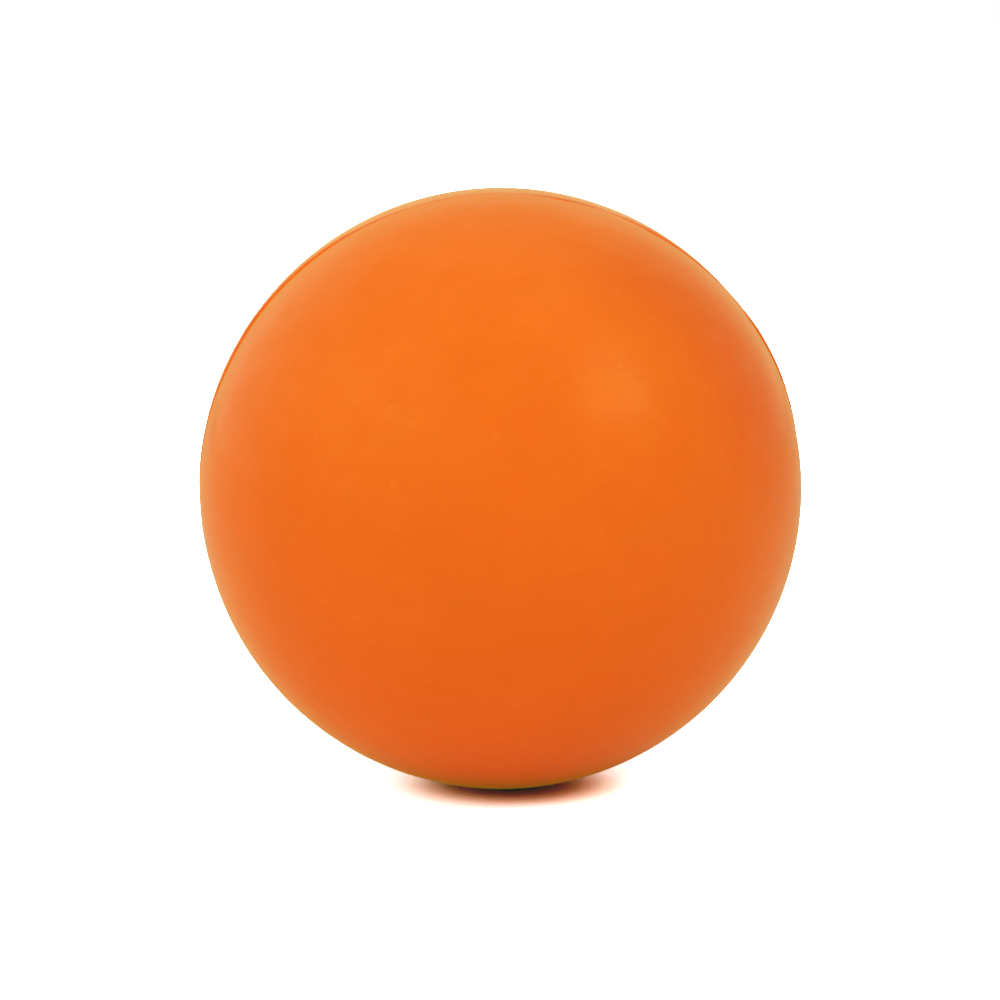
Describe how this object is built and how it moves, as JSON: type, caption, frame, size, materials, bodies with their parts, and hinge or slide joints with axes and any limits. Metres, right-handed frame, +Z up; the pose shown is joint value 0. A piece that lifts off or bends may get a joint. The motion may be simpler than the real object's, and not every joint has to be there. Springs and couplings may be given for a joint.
{
  "type": "lacrosse ball",
  "caption": "Solid moulded rubber lacrosse ball with a smooth matte skin and a low trimmed bead of flash round its parting line.",
  "frame": {"origin": "centre of the ball", "axes": "+Z up as the ball lies, +X to the right, -Y to the front; the mould axis lies in the YZ plane and points 7 degrees below -Y, so the top of the parting plane leans 7 degrees to the front of the XZ plane"},
  "size_m": [0.0641, 0.0634, 0.0636],
  "materials": {
    "moulded_rubber": "matte",
    "trimmed_rubber": "matte"
  },
  "bodies": {
    "root": {"front_half": "moulded_rubber", "rear_half": "moulded_rubber", "parting_bead": "trimmed_rubber"}
  },
  "joints": []
}
